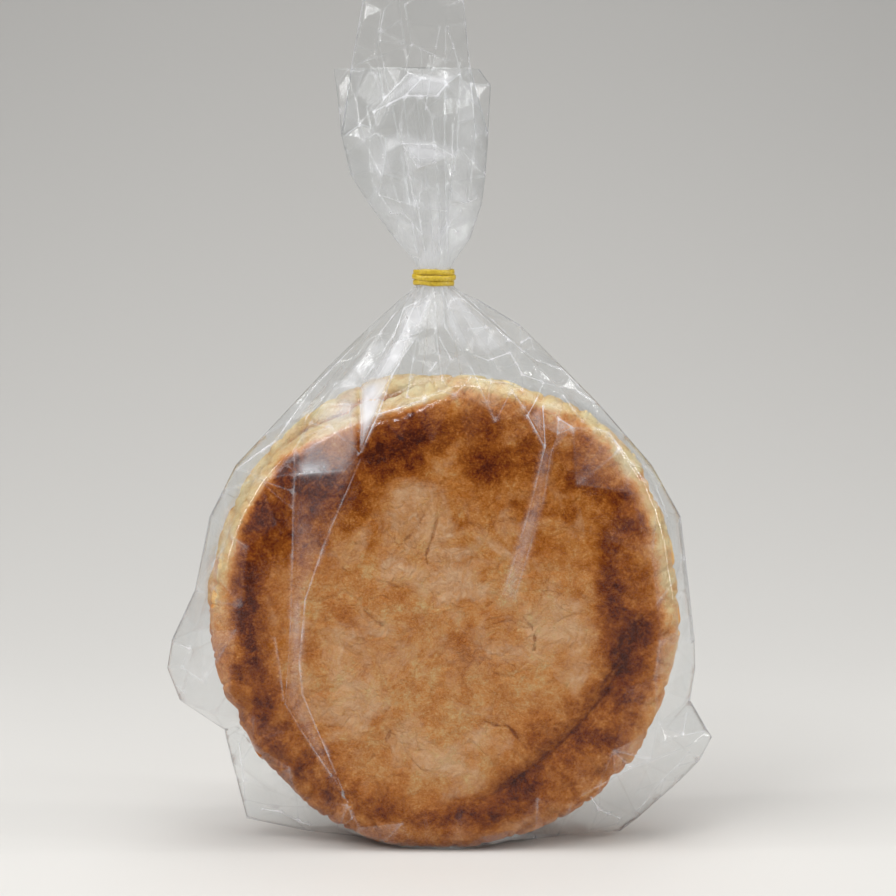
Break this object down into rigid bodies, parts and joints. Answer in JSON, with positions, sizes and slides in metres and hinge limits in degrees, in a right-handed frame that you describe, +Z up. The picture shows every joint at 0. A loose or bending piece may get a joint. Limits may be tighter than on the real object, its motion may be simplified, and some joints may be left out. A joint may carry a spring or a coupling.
{
  "type": "bag of gorditas",
  "caption": "Flat round gorditas with golden-brown faces, standing on edge in a clear film bag gathered at the neck under a yellow rubber band.",
  "frame": {"origin": "on the surface that the pack stands on, under the middle of its bounding box", "axes": "+Z up along the bag's height, +X to the right across the breads' faces, +Y from the front bread to the rear one"},
  "size_m": [0.1564, 0.0352, 0.2468],
  "materials": {
    "bread_in_film": "browned bread seen through clear glossy film",
    "rubber": "satin yellow"
  },
  "bodies": {
    "root": {"bag": "bread_in_film", "band": "rubber"}
  },
  "joints": []
}
